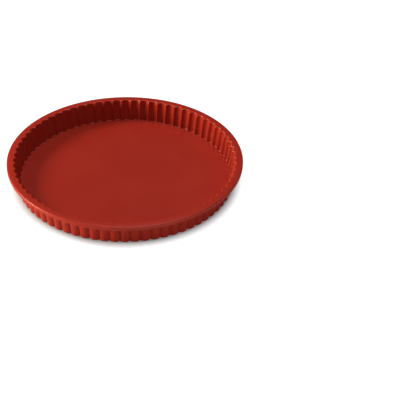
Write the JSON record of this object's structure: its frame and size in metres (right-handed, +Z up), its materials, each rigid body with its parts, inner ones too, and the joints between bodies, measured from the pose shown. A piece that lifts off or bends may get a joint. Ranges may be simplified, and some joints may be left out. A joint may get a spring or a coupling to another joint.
{
  "type": "silicone fluted tart mould",
  "caption": "Round, shallow flexible baking mould with a fluted leaning wall, a flat floor and a turned-down rim that holds a thin stiffening ring.",
  "frame": {"origin": "centre of the flat underside, on the surface the mould stands on", "axes": "+Z up through the open mouth, along the mould's axis; +X through a ridge between two flutes"},
  "size_m": [0.292, 0.292, 0.03],
  "materials": {
    "silicone": "satin terracotta-red silicone",
    "ring_plastic": "moulded dark red heat-proof plastic"
  },
  "bodies": {
    "root": {"mould": "silicone", "support_ring": "ring_plastic"}
  },
  "joints": []
}
